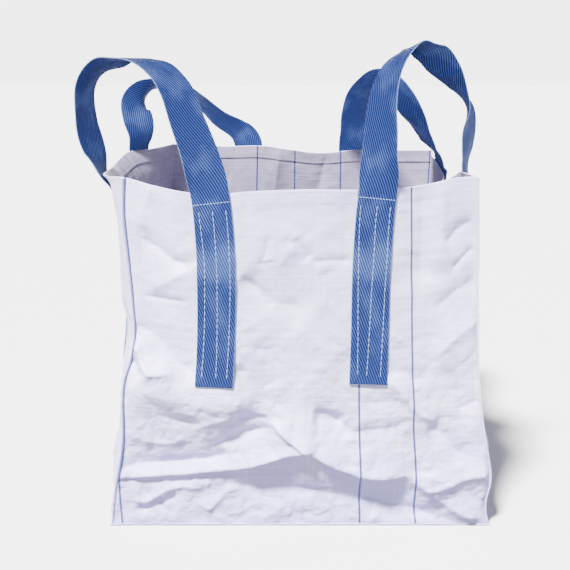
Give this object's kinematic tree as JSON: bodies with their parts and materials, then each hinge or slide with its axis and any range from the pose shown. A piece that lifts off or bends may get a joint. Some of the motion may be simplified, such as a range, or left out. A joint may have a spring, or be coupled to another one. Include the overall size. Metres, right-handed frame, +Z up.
{
  "type": "bulk bag",
  "caption": "Open-top bulk bag of woven fabric with a square flat bottom and a webbing lifting loop at each corner.",
  "frame": {"origin": "middle of the base's underside, on the floor", "axes": "+X to the right along the front wall, +Y from the front wall to the back wall, +Z up through the mouth"},
  "size_m": [0.825, 0.8059, 0.941],
  "materials": {
    "woven_fabric": "matte",
    "webbing": "matte",
    "thread": "matte"
  },
  "bodies": {
    "bag": {"base_panel": "woven_fabric", "front_panel": "woven_fabric", "right_panel": "woven_fabric", "back_panel": "woven_fabric", "left_panel": "woven_fabric", "front_base_seam": "woven_fabric", "right_base_seam": "woven_fabric", "back_base_seam": "woven_fabric", "left_base_seam": "woven_fabric", "front_left_corner_seam": "woven_fabric", "front_right_corner_seam": "woven_fabric", "back_right_corner_seam": "woven_fabric", "back_left_corner_seam": "woven_fabric", "rim_hem_stitching": "thread", "front_left_loop_front_leg": "webbing", "front_left_loop_side_leg": "webbing", "front_left_loop_front_leg_stitching": "thread", "front_left_loop_side_leg_stitching": "thread", "front_right_loop_front_leg": "webbing", "front_right_loop_side_leg": "webbing", "front_right_loop_front_leg_stitching": "thread", "front_right_loop_side_leg_stitching": "thread", "back_right_loop_back_leg": "webbing", "back_right_loop_side_leg": "webbing", "back_right_loop_back_leg_stitching": "thread", "back_right_loop_side_leg_stitching": "thread", "back_left_loop_back_leg": "webbing", "back_left_loop_side_leg": "webbing", "back_left_loop_back_leg_stitching": "thread", "back_left_loop_side_leg_stitching": "thread"},
    "front_left_loop": {"front_left_loop_arch": "webbing"},
    "front_right_loop": {"front_right_loop_arch": "webbing"},
    "back_right_loop": {"back_right_loop_arch": "webbing"},
    "back_left_loop": {"back_left_loop_arch": "webbing"}
  },
  "joints": [
    {"name": "front_left_loop_fold", "type": "hinge", "parent": "bag", "child": "front_left_loop", "pos_m": [-0.2848, -0.2853, 0.6713], "axis": [0.7651, -0.6415, -0.0565], "range_deg": [-20, 90]},
    {"name": "front_right_loop_fold", "type": "hinge", "parent": "bag", "child": "front_right_loop", "pos_m": [0.2444, -0.266, 0.6798], "axis": [0.6772, 0.7338, 0.0539], "range_deg": [-90, 90]},
    {"name": "back_right_loop_fold", "type": "hinge", "parent": "bag", "child": "back_right_loop", "pos_m": [0.2511, 0.2994, 0.6723], "axis": [-0.8951, 0.4265, 0.1299], "range_deg": [-40, 65]},
    {"name": "back_left_loop_fold", "type": "hinge", "parent": "bag", "child": "back_left_loop", "pos_m": [-0.251, 0.257, 0.6991], "axis": [-0.836, -0.5488, -0.0018], "range_deg": [-50, 35]}
  ]
}
